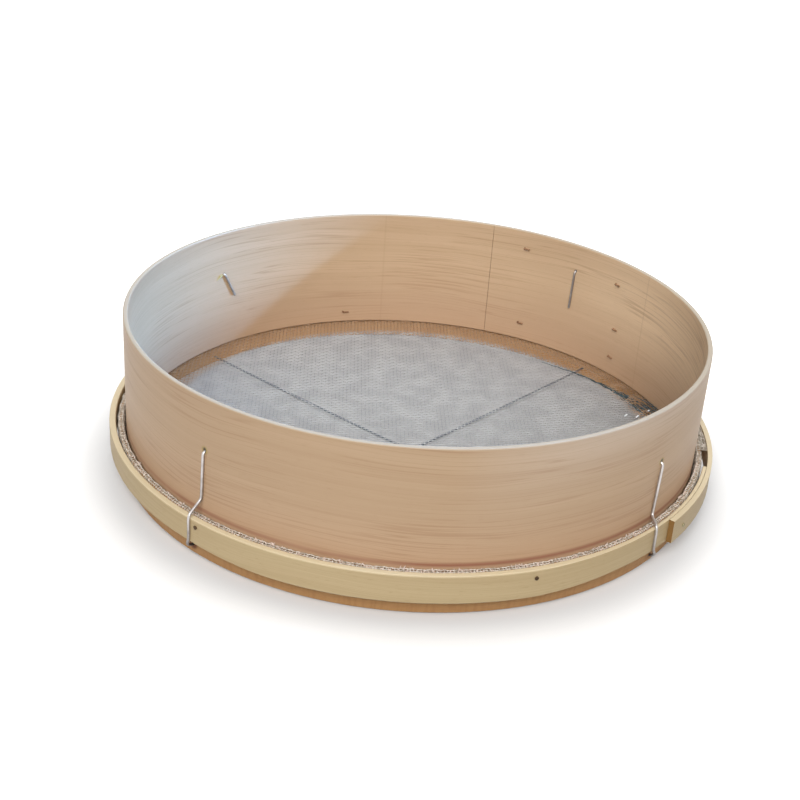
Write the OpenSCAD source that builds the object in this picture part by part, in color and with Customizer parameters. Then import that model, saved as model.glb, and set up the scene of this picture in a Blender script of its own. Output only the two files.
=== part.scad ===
// Drum sieve: a tall bentwood hoop, a wire cloth under it, and two low
// wooden rings that clamp the turned up border of the cloth.
// Sizes in millimetres, +Z up, the foot ring stands on z = 0.

/* [Tall hoop] */
// Outer diameter of the tall hoop
hoop_d = 400; // [200:5:500]
// Wall of the tall hoop
hoop_t = 3.4; // [2.5:0.1:6]
// Height of the tall hoop
hoop_h = 94.5; // [50:0.5:150]
// Radius on the rim edges of the tall hoop
rim_r = 0.8; // [0.2:0.1:1.2]
// Azimuth of the outer end of the lap
lap_out_a = 30; // [20:1:45]
// Azimuth of the inner end of the lap
lap_in_a = 73.3; // [60:0.1:90]
// Wood left at the thin ends of a lap
lap_end_t = 0.9; // [0.6:0.1:1.2]
// Width of the seam between lapped layers
seam_w = 0.3; // [0.2:0.05:0.5]

/* [Foot ring] */
// Height of the foot ring
foot_h = 30; // [24:0.5:45]
// Wall of the foot ring
foot_t = 2.4; // [2:0.1:5]
// How far its top leans out over its bottom
foot_lean = 2.8; // [0:0.1:3]
// Azimuth of the outer end of its lap
foot_lap_out_a = 150; // [145:1:160]
// Azimuth of the inner end of its lap
foot_lap_in_a = 190; // [180:1:200]

/* [Clamp ring] */
// Height of the clamp ring
ring_h = 16; // [10:0.5:24]
// Wall of the clamp ring
ring_t = 4.4; // [3:0.1:7]
// Height of the clamp ring's top edge over the foot ring's top
ring_over = 2.1; // [0.5:0.1:4]
// Azimuth of the blunt outer end of its lap
ring_lap_a = -37.3; // [-40:0.1:-36]
// Azimuth of the blunt inner end of its lap
ring_tuck_a = -15; // [-20:0.5:-10]
// Thickness of the inner layer in the lap
ring_tuck_t = 2.6; // [2:0.1:3]
// Thickness of the outer layer in the lap
ring_lap_t = 3.6; // [3:0.1:4.5]
// Azimuth from which the ring dips to the inner layer
ring_dip_a = -66; // [-72:1:-60]
// Azimuth at which the outer layer is back on the ring
ring_back_a = 28; // [24:1:32]
// How far its lower edge hangs down between the front ties
ring_sag = 3.4; // [0.5:0.1:4]
// Half the width of the stretch that hangs down
ring_sag_w = 133; // [110:1:145]

/* [Wire cloth] */
// Thickness of the folded wire cloth
cloth_t = 0.6; // [0.5:0.1:1.2]
// Height of the cloth over the ground
cloth_z = 14; // [10:0.1:18]
// Diameter of the cloth's wires
cloth_wire_d = 0.7; // [0.5:0.05:0.7]
// Spacing of the wires in the open net
net_pitch = 20.6; // [18:0.1:40]
// Number of wires each way
net_count = 19; // [9:2:21]
// Air on each side of the cloth between the hoops
cloth_gap = 0.3; // [0.25:0.05:0.6]
// Air between the folded cloth and the clamp ring
ring_gap = 0.9; // [0.5:0.1:1.8]
// Azimuth at which the fold over the foot ring starts
fold_a0 = -182; // [-183:1:-160]
// Azimuth at which the fold over the foot ring ends
fold_a1 = 0; // [-12:1:6]
// Depth of the turned down edge of the cloth
fold_drop = 13; // [8:0.5:14]

/* [Tie wires] */
// Diameter of the tie wires
tie_d = 1.8; // [1.2:0.1:2.6]
// Air between a tie wire and the wood
tie_gap = 0.3; // [0.25:0.05:0.6]
// Height of the holes in the tall hoop, front left
tie_fl_z = 74.2; // [60:0.1:90]
// Height of the holes in the tall hoop, front right
tie_fr_z = 71.2; // [60:0.1:90]
// Height of the holes in the tall hoop, back left
tie_bl_z = 75.7; // [60:0.1:90]
// Height of the holes in the tall hoop, back right
tie_br_z = 88; // [70:0.5:95]
// Height at which the bent tails inside the hoop end
tail_z = 56; // [45:0.5:58]
// Height of the lower wire under the cloth
cross_lo_z = 4.6; // [3:0.1:6]
// Height of a wire's loop over the clamp ring
tie_over = 2.6; // [1.5:0.1:4]
// Depth at which a wire turns in under the clamp ring
tie_tuck = 3.5; // [3:0.1:4.5]

/* [Nails] */
// Diameter of the nail shanks
nail_d = 1.2; // [0.8:0.1:2]
// Diameter of the nail heads
nail_head_d = 2.6; // [2:0.1:4]
// Thickness of the nail heads
nail_head_t = 0.5; // [0.3:0.1:0.8]
// Length of the bent over point inside the tall hoop
nail_clinch = 4.6; // [2:0.1:6]
// Height of the top nail up the tall hoop
nail_top_z = 80; // [70:0.5:85]
// Height of the high nail up the tall hoop
nail_high_z = 75.5; // [65:0.5:80]
// Height of the middle nail up the tall hoop
nail_mid_z = 39; // [30:0.5:50]
// Height of the low nails up the tall hoop
nail_low_z = 15; // [10:0.5:20]
// Height of the lone nail up the tall hoop
nail_lone_z = 9; // [6:0.5:12]
// Height of the high nails up the clamp ring
ring_nail_hi_z = 11.8; // [9:0.1:12]
// Height of the middle nail up the clamp ring
ring_nail_mid_z = 10.7; // [6:0.1:12]
// Height of the low nails up the clamp ring
ring_nail_lo_z = 7.1; // [4:0.1:11]
// Height of the low nails up the foot ring
foot_nail_lo_z = 8; // [4:0.5:10]
// Height of the high nails up the foot ring
foot_nail_hi_z = 22; // [18:0.5:25]
// Air round a nail in its hole
nail_gap = 0.3; // [0.25:0.05:0.5]

/* [Hidden] */
$fn = 96;
eps = 0.01;
hoop_r = hoop_d / 2;
hoop_ri = hoop_r - hoop_t;
// The hoop seats on the cloth
hoop_z0 = cloth_z + cloth_t + tie_gap;
hoop_z1 = hoop_z0 + hoop_h;
// The foot ring goes round the hoop with the cloth between them. Its wall
// leans, and the cloth leans with it.
foot_slope = foot_lean / foot_h;
foot_ri0 = hoop_r + 2 * cloth_gap + cloth_t - foot_slope * cloth_z;
function foot_in(z) = foot_ri0 + foot_slope * z;
function foot_out(z) = foot_in(z) + foot_t;
// The clamp ring goes round the foot ring with the fold between them
fold_ri = foot_out(foot_h) + cloth_gap;
fold_ro = fold_ri + cloth_t;
ring_ri = fold_ro + ring_gap;
ring_ro = ring_ri + ring_t;
ring_z1 = foot_h + ring_over;
ring_z0 = ring_z1 - ring_h;
fold_z = foot_h + cloth_gap;
// The tie wires run just clear of the wood
tie_r = tie_d / 2;
tie_in_r = hoop_ri - tie_gap - tie_r;
tie_out_r = hoop_r + tie_gap + tie_r;
// The upper wire under the cloth passes just over the lower one
cross_hi_z = cross_lo_z + tie_d + tie_gap;
tie_hole_d = tie_d + 2 * tie_gap;
nail_hole_d = nail_d + 2 * nail_gap;
// A bend in a wire is a touch thicker than the wire
bend_swell = 0.12;
// How far the blocks that cut the hoops reach out past them
seam_reach = 5;
// An arc that runs from radius v0 at azimuth a0 to v1 at a1, off centre
function arc_r(v0, v1) = (v0 + v1) / 2;
function arc_m(v0, v1, a0, a1) = (v0 - v1) / 2 / sin((a1 - a0) / 2);
function arc_at(v0, v1, a0, a1, a) = arc_r(v0, v1)
  + arc_m(v0, v1, a0, a1) * sin((a0 + a1) / 2 - a);
// The clamp ring's outer radius at azimuth a, with its lap
tuck_ro = ring_ri + ring_tuck_t;
lap_ri = tuck_ro + seam_w;
lap_ro = lap_ri + ring_lap_t;
function ring_out(a) =
  a > ring_dip_a && a < ring_lap_a ? arc_at(ring_ro, tuck_ro, ring_dip_a, ring_lap_a, a) :
  a >= ring_lap_a && a < ring_back_a ? arc_at(lap_ro, ring_ro, ring_lap_a, ring_back_a, a) :
  ring_ro;

// Each tie as hole azimuth, tail azimuth, hole height, azimuth at the foot
// ring, azimuth over the clamp ring, and azimuth and height over the clamp
// ring of its knee at the tall hoop
knee_high = tie_over * 3.5;
tie_fl = [-127, -129, tie_fl_z, -129.2, -127.3, -127.5, knee_high];
tie_fr = [-38.7, -36.9, tie_fr_z, -38.6, -42, -39.5, tie_over];
tie_bl = [141.9, 138.9, tie_bl_z, 143.5, 142.6, 142, knee_high];
tie_br = [51.3, 51.7, tie_br_z, 46.6, 49, 50.5, knee_high];

// Nails through the lap of the tall hoop, as azimuth and height up the hoop
hoop_nails = [[65.2, nail_top_z], [64.9, nail_low_z], [39.4, nail_high_z],
  [38.2, nail_mid_z], [38.5, nail_low_z], [109, nail_lone_z]];
// Nails through the clamp ring, as azimuth and height up the ring
ring_nails = [[-125.9, ring_nail_hi_z], [-67.7, ring_nail_mid_z],
  [45, ring_nail_lo_z], [90, ring_nail_lo_z], [165, ring_nail_lo_z]];
// The nail at the lap of the clamp ring
ring_lap_nails = [[-33.4, ring_nail_lo_z]];
// Nails through the lap of the foot ring
foot_lap_nails = [[156, foot_nail_lo_z], [156, foot_nail_hi_z],
  [173, foot_nail_lo_z], [173, foot_nail_hi_z]];

function polar(r, a, z) = [r * cos(a), r * sin(a), z];

// A flat pie slice from azimuth a0 to a1
module slice(r, a0, a1) {
  m = (a0 + a1) / 2;
  k = r / cos((a1 - a0) / 4);
  polygon([[0, 0], [r * cos(a0), r * sin(a0)],
    [k * cos((a0 + m) / 2), k * sin((a0 + m) / 2)],
    [r * cos(m), r * sin(m)],
    [k * cos((m + a1) / 2), k * sin((m + a1) / 2)],
    [r * cos(a1), r * sin(a1)]]);
}

// A thin shell between two heights
module shell(ri, ro, z0, h) {
  translate([0, 0, z0]) linear_extrude(h) difference() {
    circle(r = ro, $fn = 180);
    circle(r = ri, $fn = 180);
  }
}

// A hoop with softly rounded rim edges, whose wall leans out by k per height
module hoop_blank(ri, ro, z0, h, e, k = 0) {
  d = 0.3 * e;
  rotate_extrude($fn = 180) polygon([for (p = [[ri, e], [ri + e, 0], [ro - e, 0],
    [ro, e], [ro, h - e], [ro - d, h - d], [ro - e, h], [ri + e, h],
    [ri + d, h - d], [ri, h - e]]) [p[0] + k * p[1], z0 + p[1]]]);
}

// A thin upright cut at azimuth a, from radius r0 to r1, that leans by k
module notch(r0, r1, a, z0, h, k) {
  rotate([0, 0, a]) translate([r0, -seam_w / 2, z0]) rotate([0, atan(k), 0])
    translate([0, 0, -seam_reach]) cube([r1 - r0, seam_w, h + 2 * seam_reach]);
}

// The blunt ends of a scarfed lap, as a notch in each face of the hoop
module lap_ends(ri, ro, z0, h, a_out, a_in, k = 0) {
  notch(ri - seam_reach, ri + lap_end_t + seam_w / 2, a_in, z0, h, k);
  notch(ro - lap_end_t - seam_w / 2, ro + seam_reach, a_out, z0, h, k);
}

// The seam between the layers of a scarfed lap, as a sloping slit
module lap_slit(ri, ro, z0, h, a_out, a_in) {
  m = (a_out + a_in) / 2;
  rm = (ri + ro) / 2;
  off = ((ro - ri) / 2 - lap_end_t) / sin((a_in - a_out) / 2);
  translate([0, 0, z0 - 1]) linear_extrude(h + 2) intersection() {
    translate([off * cos(m - 90), off * sin(m - 90)]) difference() {
      circle(r = rm + seam_w / 2, $fn = 180);
      circle(r = rm - seam_w / 2, $fn = 180);
    }
    slice(ro + seam_reach, a_out, a_in);
  }
}

// A straight round rod from p to q
module rod(p, q, d) {
  v = q - p;
  len = norm(v);
  translate(p) rotate([0, acos(v[2] / len), atan2(v[1], v[0])])
    cylinder(d = d, h = len, $fn = 24);
}

// A bent wire through a list of points, with a ball at each bend
module wire(pts, d) {
  for (i = [0 : len(pts) - 2]) rod(pts[i], pts[i + 1], d);
  for (i = [1 : len(pts) - 2]) translate(pts[i]) rotate([17, 23, 31])
    sphere(d = d + bend_swell, $fn = 24);
}

// The points of one tie, from its tail inside the hoop to the foot ring
function tie_points(t, z) = let(r = ring_out(t[4]) + tie_gap + tie_r) [
  polar(tie_in_r, t[1], tail_z),
  polar(tie_in_r, t[0], t[2]),
  polar(tie_out_r, t[0], t[2]),
  polar(tie_out_r, t[5], ring_z1 + t[6]),
  polar(r - 2 * tie_gap, t[4], ring_z1 + tie_over),
  polar(r, t[4], ring_z1 - tie_r - tie_gap),
  polar(r, t[4], ring_z0 + tie_d),
  polar(r - tie_r, (t[3] + 2 * t[4]) / 3, ring_z0 - tie_tuck),
  polar(tie_foot(z), t[3], z)];
// Where a tie turns into the foot ring
function tie_foot(z) = foot_out(z) + tie_gap + tie_r;

function flip(v) = [for (i = [len(v) - 1 : -1 : 0]) v[i]];

// The round holes that the ties pass in the tall hoop
module tie_holes() {
  for (t = [tie_fl, tie_fr, tie_bl, tie_br])
    translate([0, 0, t[2]]) rotate([0, 0, t[0]])
      translate([hoop_ri - 2, 0, 0]) rotate([0, 90, 0])
        cylinder(d = tie_hole_d, h = hoop_t + 4, $fn = 24);
}

// The holes in the foot ring, along the wire from tie a to tie b
module cross_hole(a, b, z) {
  p = polar(tie_foot(z), a[3], z);
  q = polar(tie_foot(z), b[3], z);
  u = (q - p) / norm(q - p);
  rod(p - u, p + u * (foot_t * 2 + tie_d), tie_hole_d);
  rod(q + u, q - u * (foot_t * 2 + tie_d), tie_hole_d);
}

// Radial holes for the nails in list, z0 being the bottom of the wood
module nail_holes(list, z0, ri, depth) {
  for (n = list) translate([0, 0, z0 + n[1]]) rotate([0, 0, n[0]])
    translate([ri - 1, 0, 0]) rotate([0, 90, 0])
      cylinder(d = nail_hole_d, h = depth + 2, $fn = 24);
}

// One nail with its head outside at radius ro and its point at ri. Where
// clinch is over 0, the point lies bent over along the wood inside.
module nail(a, z, ri, ro, clinch = 0) {
  translate([0, 0, z]) rotate([0, 0, a]) {
    translate([ri, 0, 0]) rotate([0, 90, 0])
      cylinder(d = nail_d, h = ro - ri + nail_gap + eps, $fn = 24);
    translate([ro + nail_gap, 0, 0]) rotate([0, 90, 0])
      cylinder(d = nail_head_d, h = nail_head_t, $fn = 24);
    if (clinch > 0) {
      translate([ri, 0, 0]) rotate([17, 23, 31]) sphere(d = nail_d + 0.1, $fn = 24);
      translate([ri, 0, 0]) rotate([90, 0, -4]) cylinder(d = nail_d, h = clinch, $fn = 24);
    }
  }
}

module tall_hoop() {
  color([0.76, 0.62, 0.48]) difference() {
    hoop_blank(hoop_ri, hoop_r, hoop_z0, hoop_h, rim_r);
    lap_slit(hoop_ri, hoop_r, hoop_z0, hoop_h, lap_out_a, lap_in_a);
    lap_ends(hoop_ri, hoop_r, hoop_z0, hoop_h, lap_out_a, lap_in_a);
    tie_holes();
    nail_holes(hoop_nails, hoop_z0, hoop_ri, hoop_t);
  }
}

module foot_ring() {
  color([0.65, 0.46, 0.31]) difference() {
    hoop_blank(foot_ri0, foot_ri0 + foot_t, 0, foot_h, rim_r, foot_slope);
    lap_ends(foot_ri0, foot_ri0 + foot_t, 0, foot_h, foot_lap_out_a,
      foot_lap_in_a, foot_slope);
    cross_hole(tie_fl, tie_br, cross_hi_z);
    cross_hole(tie_fr, tie_bl, cross_lo_z);
    nail_holes(foot_lap_nails, 0, foot_ri0, foot_t + foot_lean);
    nail_holes(ring_nails, ring_z0, foot_ri0, foot_t + foot_lean);
    nail_holes(ring_lap_nails, ring_z0, foot_ri0, foot_t + foot_lean);
  }
}

// A disc off centre whose rim runs from radius v0 at a0 to v1 at a1
module arc_disc(v0, v1, a0, a1) {
  m = arc_m(v0, v1, a0, a1);
  mid = (a0 + a1) / 2;
  translate([m * cos(mid - 90), m * sin(mid - 90)])
    circle(r = arc_r(v0, v1), $fn = 180);
}

// What is cut away under the clamp ring, all but an arc's stretch in front
module ring_under(far) {
  low = ring_sag + rim_r;
  rho = (ring_sag_w * ring_sag_w + low * low) / (2 * low);
  deep = low + seam_reach;
  translate([-far, 0, ring_z0 - deep]) cube([2 * far, far, deep]);
  translate([0, 1, 0]) rotate([90, 0, 0]) linear_extrude(far) difference() {
    translate([-far, ring_z0 - deep]) square([2 * far, deep]);
    translate([0, ring_z0 - low + rho]) circle(r = rho, $fn = 720);
  }
}

module clamp_ring() {
  far = ring_ro + 4 * seam_reach;
  color([0.80, 0.70, 0.55]) difference() {
    union() {
      hoop_blank(ring_ri, ring_ro, ring_z0 - ring_sag, ring_h + ring_sag, rim_r);
      // The outer layer stands proud from its blunt end on
      translate([0, 0, ring_z0]) linear_extrude(ring_h) intersection() {
        slice(far, ring_lap_a, ring_back_a);
        difference() {
          arc_disc(lap_ro, ring_ro, ring_lap_a, ring_back_a);
          circle(r = ring_ro - 1.5, $fn = 180);
        }
      }
    }
    translate([0, 0, ring_z0 - ring_sag - 1]) linear_extrude(ring_h + ring_sag + 2) {
      // Left of the blunt end the ring dips to the inner layer
      difference() {
        slice(far, ring_dip_a, ring_lap_a);
        arc_disc(ring_ro, tuck_ro, ring_dip_a, ring_lap_a);
      }
      // The seam between the layers
      intersection() {
        slice(far, ring_lap_a - 0.5, ring_tuck_a + 0.3);
        difference() {
          circle(r = lap_ri, $fn = 180);
          circle(r = tuck_ro, $fn = 180);
        }
      }
      // Behind the inner layer's end the outer layer closes in on the foot ring
      intersection() {
        slice(far, ring_tuck_a, ring_back_a);
        arc_disc(lap_ri, ring_ri, ring_tuck_a, ring_back_a);
      }
    }
    ring_under(far);
    nail_holes(ring_nails, ring_z0, ring_ri, ring_t * 2);
    nail_holes(ring_lap_nails, ring_z0, ring_ri, ring_t * 2 + 2);
  }
}

// The open net under the hoop, with the flat band that the hoop stands on
module sieve_cloth() {
  half = (net_count - 1) / 2;
  rb = hoop_ri - tie_gap;
  rw = hoop_ri;
  zc = cloth_z + cloth_t / 2;
  layer = cloth_wire_d / 2 + 0.05;
  color([0.70, 0.70, 0.70]) union() {
    shell(rb, foot_in(cloth_z) - cloth_gap, cloth_z, cloth_t);
    for (i = [-half : half]) {
      y = i * net_pitch;
      w = sqrt(rw * rw - y * y);
      translate([-w, y, zc - layer]) rotate([0, 90, 0])
        cylinder(d = cloth_wire_d, h = 2 * w, $fn = 24);
    }
    for (i = [-half : half]) {
      x = i * net_pitch;
      w = sqrt(rw * rw - x * x);
      translate([x, -w, zc + layer]) rotate([-90, 0, 0])
        cylinder(d = cloth_wire_d, h = 2 * w, $fn = 24);
    }
  }
}

// The border of the cloth, turned up between the hoops and folded over
module cloth_border() {
  z0 = cloth_z + cloth_t + tie_gap;
  z1 = fold_z + cloth_t;
  z2 = z1 - fold_drop;
  rm = foot_in(foot_h) + foot_t / 2;
  color([0.70, 0.70, 0.70]) difference() {
    rotate_extrude($fn = 180) polygon([[wall_in(z0), z0], [wall_in(z0) + cloth_t, z0],
      [wall_in(fold_z) + cloth_t, fold_z], [fold_ri, fold_z], [fold_ri, z2],
      [fold_ro, z2], [fold_ro, z1], [wall_in(z1), z1]]);
    // At the back the cloth ends level with the foot ring's top
    translate([0, 0, fold_z - 0.1]) linear_extrude(cloth_t + 1)
      slice(ring_ro, fold_a1, fold_a0 + 360);
    translate([0, 0, z2 - 1]) linear_extrude(fold_drop + 2) difference() {
      slice(ring_ro, fold_a1, fold_a0 + 360);
      circle(r = rm, $fn = 180);
    }
    nail_holes(ring_nails, ring_z0, foot_ri0, foot_t + foot_lean + 2);
    nail_holes(ring_lap_nails, ring_z0, foot_ri0, foot_t + foot_lean + 2);
  }
}
// The inner face of the turned up cloth at height z
function wall_in(z) = foot_in(z) - cloth_gap - cloth_t;

module tie_wire_front_left_to_back_right() {
  color([0.72, 0.70, 0.68]) wire(concat(tie_points(tie_fl, cross_hi_z),
    flip(tie_points(tie_br, cross_hi_z))), tie_d);
}

module tie_wire_front_right_to_back_left() {
  color([0.72, 0.70, 0.68]) wire(concat(tie_points(tie_fr, cross_lo_z),
    flip(tie_points(tie_bl, cross_lo_z))), tie_d);
}

module hoop_lap_nail() {
  color([0.25, 0.2, 0.18]) for (n = hoop_nails)
    nail(n[0], hoop_z0 + n[1], hoop_ri - nail_gap - nail_d / 2, hoop_r, nail_clinch);
}

module clamp_ring_nail() {
  color([0.25, 0.2, 0.18]) for (n = ring_nails)
    nail(n[0], ring_z0 + n[1], foot_in(ring_z0 + n[1]) + nail_gap, ring_out(n[0]));
}

module clamp_ring_lap_nail() {
  color([0.25, 0.2, 0.18]) for (n = ring_lap_nails)
    nail(n[0], ring_z0 + n[1], foot_in(ring_z0 + n[1]) + nail_gap, ring_out(n[0]));
}

module foot_ring_lap_nail() {
  color([0.25, 0.2, 0.18]) for (n = foot_lap_nails)
    nail(n[0], n[1], foot_in(n[1]) + nail_gap, foot_out(n[1]));
}

tall_hoop();
foot_ring();
clamp_ring();
sieve_cloth();
cloth_border();
tie_wire_front_left_to_back_right();
tie_wire_front_right_to_back_left();
hoop_lap_nail();
clamp_ring_nail();
clamp_ring_lap_nail();
foot_ring_lap_nail();
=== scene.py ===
import math
import random
from collections import namedtuple

import bmesh
import bpy
from mathutils import Matrix, Vector


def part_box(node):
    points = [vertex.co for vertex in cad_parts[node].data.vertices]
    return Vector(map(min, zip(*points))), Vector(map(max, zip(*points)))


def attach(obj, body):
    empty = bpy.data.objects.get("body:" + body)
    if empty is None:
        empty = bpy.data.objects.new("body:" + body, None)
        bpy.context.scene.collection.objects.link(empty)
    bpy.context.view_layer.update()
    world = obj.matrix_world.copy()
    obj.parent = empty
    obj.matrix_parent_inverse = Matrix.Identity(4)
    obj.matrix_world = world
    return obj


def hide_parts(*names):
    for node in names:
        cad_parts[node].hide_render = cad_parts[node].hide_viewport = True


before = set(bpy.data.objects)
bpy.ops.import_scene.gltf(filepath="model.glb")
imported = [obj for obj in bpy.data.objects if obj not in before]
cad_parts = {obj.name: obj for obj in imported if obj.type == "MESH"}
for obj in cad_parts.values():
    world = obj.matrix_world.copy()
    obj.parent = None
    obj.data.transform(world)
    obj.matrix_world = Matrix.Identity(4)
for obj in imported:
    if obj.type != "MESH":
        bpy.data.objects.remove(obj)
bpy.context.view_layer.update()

bl_info = {
    "name": "Drum sieve",
    "version": (1, 1, 0),
    "blender": (4, 5, 0),
    "location": "View3D > Sidebar > Drum sieve",
    "description": "Builds the looks of a bentwood drum sieve with a woven wire cloth",
    "category": "Object",
}

MM = 0.001
TAU = 2 * math.pi


# Sizes taken from the CAD nodes

def span(name):
    """Outer radius on the left, lowest and highest z of a CAD node."""
    lo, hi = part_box(name)
    return -lo.x, lo.z, hi.z


HOOP_R, HOOP_Z0, _ = span("tall_hoop")
_, _, CLAMP_Z1 = span("clamp_ring")
FOOT_R, _, FOOT_Z1 = span("foot_ring")
FOLD_R, WALL_Z0, FOLD_Z1 = span("cloth_border")
CLOTH_R, CLOTH_LOW, CLOTH_HIGH = span("sieve_cloth")
CLOTH_Z = (CLOTH_LOW + CLOTH_HIGH) / 2
# Walls of the hoop and of the foot ring, how far the foot ring leans out over
# its height, and the room left between neighbouring pieces
HOOP_WALL, FOOT_WALL, FOOT_LEAN, AIR = 3.4 * MM, 2.4 * MM, 2.8 * MM, 0.3 * MM
# Height of the clamp ring at the ties, and its lower edge there, which lies over
# the stretch that hangs down
CLAMP_H = 16 * MM
CLAMP_EDGE_Z = CLAMP_Z1 - CLAMP_H

# The fitted camera: distance in hoop radii, elevation, focal length in pixels
CAM_D, CAM_E, CAM_F = 4.7493, 0.5003, 1305.85
CAM_RX, CAM_RY, CAM_RZ = -0.0362, 0.0065, 0.0757
# Side of the picture in pixels, width of the sensor in mm, farthest distance seen
PICTURE, SENSOR, FARTHEST = 800, 36, 50


def polar(r, deg, z):
    """A point from radius, azimuth in degrees and height."""
    a = math.radians(deg)
    return Vector((r * math.cos(a), r * math.sin(a), z))


# Shader helpers

def srgb(r, g, b):
    """A linear colour from 8 bit display values."""
    def linear(value):
        value /= 255
        return value / 12.92 if value <= 0.04045 else ((value + 0.055) / 1.055) ** 2.4
    return linear(r), linear(g), linear(b)


def tinted(colour, r, g, b):
    """A colour times three factors."""
    return colour[0] * r, colour[1] * g, colour[2] * b


def new_material(name, rough=0.6, metal=0.0):
    """A material with its node tree and its shader."""
    mat = bpy.data.materials.get(name) or bpy.data.materials.new(name)
    mat.use_nodes = True
    tree = mat.node_tree
    tree.nodes.clear()
    out = tree.nodes.new("ShaderNodeOutputMaterial")
    bsdf = tree.nodes.new("ShaderNodeBsdfPrincipled")
    bsdf.inputs["Roughness"].default_value = rough
    bsdf.inputs["Metallic"].default_value = metal
    tree.links.new(bsdf.outputs[0], out.inputs[0])
    return mat, tree, bsdf


def plug(tree, sock, value):
    """Links a socket to an input, or sets a number, vector or colour there."""
    if isinstance(value, bpy.types.NodeSocket):
        tree.links.new(value, sock)
    elif isinstance(value, (int, float)):
        sock.default_value = value
    else:
        sock.default_value = (*value, 1)[:len(sock.default_value)]


def maths(tree, op, a, b=0.0, c=0.0):
    """A maths node on sockets or numbers."""
    n = tree.nodes.new("ShaderNodeMath")
    n.operation = op
    for sock, v in zip(n.inputs, (a, b, c)):
        plug(tree, sock, v)
    return n.outputs[0]


def stretched(tree, place, scales, fine=1.0):
    """A vector from the three parts of a place, each times its own scale.

    fine is one more factor for the last part.
    """
    n = tree.nodes.new("ShaderNodeCombineXYZ")
    for sock, part, scale in zip(n.inputs, place, (*scales[:2], scales[2] * fine)):
        plug(tree, sock, maths(tree, "MULTIPLY", part, scale))
    return n.outputs[0]


def noise(tree, vec, scale=1.0, detail=2.0, rough=0.5):
    """Smooth noise over a vector."""
    n = tree.nodes.new("ShaderNodeTexNoise")
    plug(tree, n.inputs["Vector"], vec)
    plug(tree, n.inputs["Scale"], scale)
    plug(tree, n.inputs["Detail"], detail)
    plug(tree, n.inputs["Roughness"], rough)
    return n.outputs[0]


def remap(tree, value, lo, hi, out_lo=0.0, out_hi=1.0):
    """A value mapped softly from one range to another."""
    n = tree.nodes.new("ShaderNodeMapRange")
    n.interpolation_type = "SMOOTHSTEP"
    for sock, v in zip(n.inputs, (value, lo, hi, out_lo, out_hi)):
        plug(tree, sock, v)
    return n.outputs[0]


def mix(tree, fac, a, b, kind="MIX"):
    """Mixes two colours, each a socket or a plain colour."""
    n = tree.nodes.new("ShaderNodeMix")
    n.data_type = "RGBA"
    n.blend_type = kind
    for sock, v in ((n.inputs[0], fac), (n.inputs[6], a), (n.inputs[7], b)):
        plug(tree, sock, v)
    return n.outputs[2]


def place_of(tree):
    """The object's coordinates: the vector, and its three parts."""
    co = tree.nodes.new("ShaderNodeTexCoord").outputs["Object"]
    sep = tree.nodes.new("ShaderNodeSeparateXYZ")
    tree.links.new(co, sep.inputs[0])
    return co, tuple(sep.outputs)


def axis_distance(tree, x, y):
    """Distance from the sieve's axis."""
    square = maths(tree, "ADD", maths(tree, "MULTIPLY", x, x), maths(tree, "MULTIPLY", y, y))
    return maths(tree, "SQRT", square)


def seen_rays(tree):
    """One for the rays that show the background, none for those that light."""
    path = tree.nodes.new("ShaderNodeLightPath").outputs
    return maths(tree, "MAXIMUM", path["Is Camera Ray"],
                 maths(tree, "MAXIMUM", path["Is Glossy Ray"], path["Is Transmission Ray"]))


# Materials

def tint_spot(tree, base, co, place, size, colour, amount):
    """Tints the wood softly round one point."""
    d = tree.nodes.new("ShaderNodeVectorMath")
    d.operation = "DISTANCE"
    plug(tree, d.inputs[0], co)
    d.inputs[1].default_value = place
    near = remap(tree, d.outputs["Value"], size * 0.45, size, amount, 0.0)
    return mix(tree, near, base, colour)


# How finely the noises of the wood run along x, y and z, in waves per metre.
# Squeezed hard along z and hardly at all along x and y, they draw long lines
# round the hoop that close on themselves without a seam.
DRIFT = (6.0, 6.0, 8.0)
BANDS = (2.5, 2.5, 110.0)
LINES = (5.0, 5.0, 340.0)
PATCHES = (12.0, 12.0, 30.0)
FIBRES = (18.0, 18.0, 1500.0)
PORES = (150.0, 150.0, 1400.0)
SAW_CUTS = (420.0, 420.0, 40.0)
CLOUDS = 7.0
# How far the lines wander up and down on their way round
WANDER = 16 * MM
# The wood's colour times these is its dull and pale bands, its dark lines and
# its clouds
DULL_BAND, PALE_BAND = (0.95, 0.93, 0.91), (1.03, 1.03, 1.03)
DARK_LINE = (0.66, 0.52, 0.42)
CLOUD = (0.86, 0.82, 0.78)
# Heights over the hoop's lower edge between which it takes on painted shade and warm reflected light
LOW_FROM, LOW_TO = 62 * MM, 4 * MM


def grain(tree, co, place, spacing):
    """The noises of the wood, by name."""
    x, y, z = place
    drift = noise(tree, stretched(tree, place, DRIFT), detail=1.5)
    wandering = (x, y, maths(tree, "MULTIPLY_ADD", drift, WANDER, z))
    fine = 1.0 / spacing
    return {
        "bands": noise(tree, stretched(tree, wandering, BANDS, fine), detail=1.0),
        "lines": noise(tree, stretched(tree, wandering, LINES, fine), detail=1.5),
        "patches": noise(tree, stretched(tree, place, PATCHES), detail=1.0),
        "fibres": noise(tree, stretched(tree, wandering, FIBRES, fine), detail=3.0, rough=0.6),
        "pores": noise(tree, stretched(tree, place, PORES), detail=1.0),
        "clouds": noise(tree, co, scale=CLOUDS, detail=2.0)}


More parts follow.
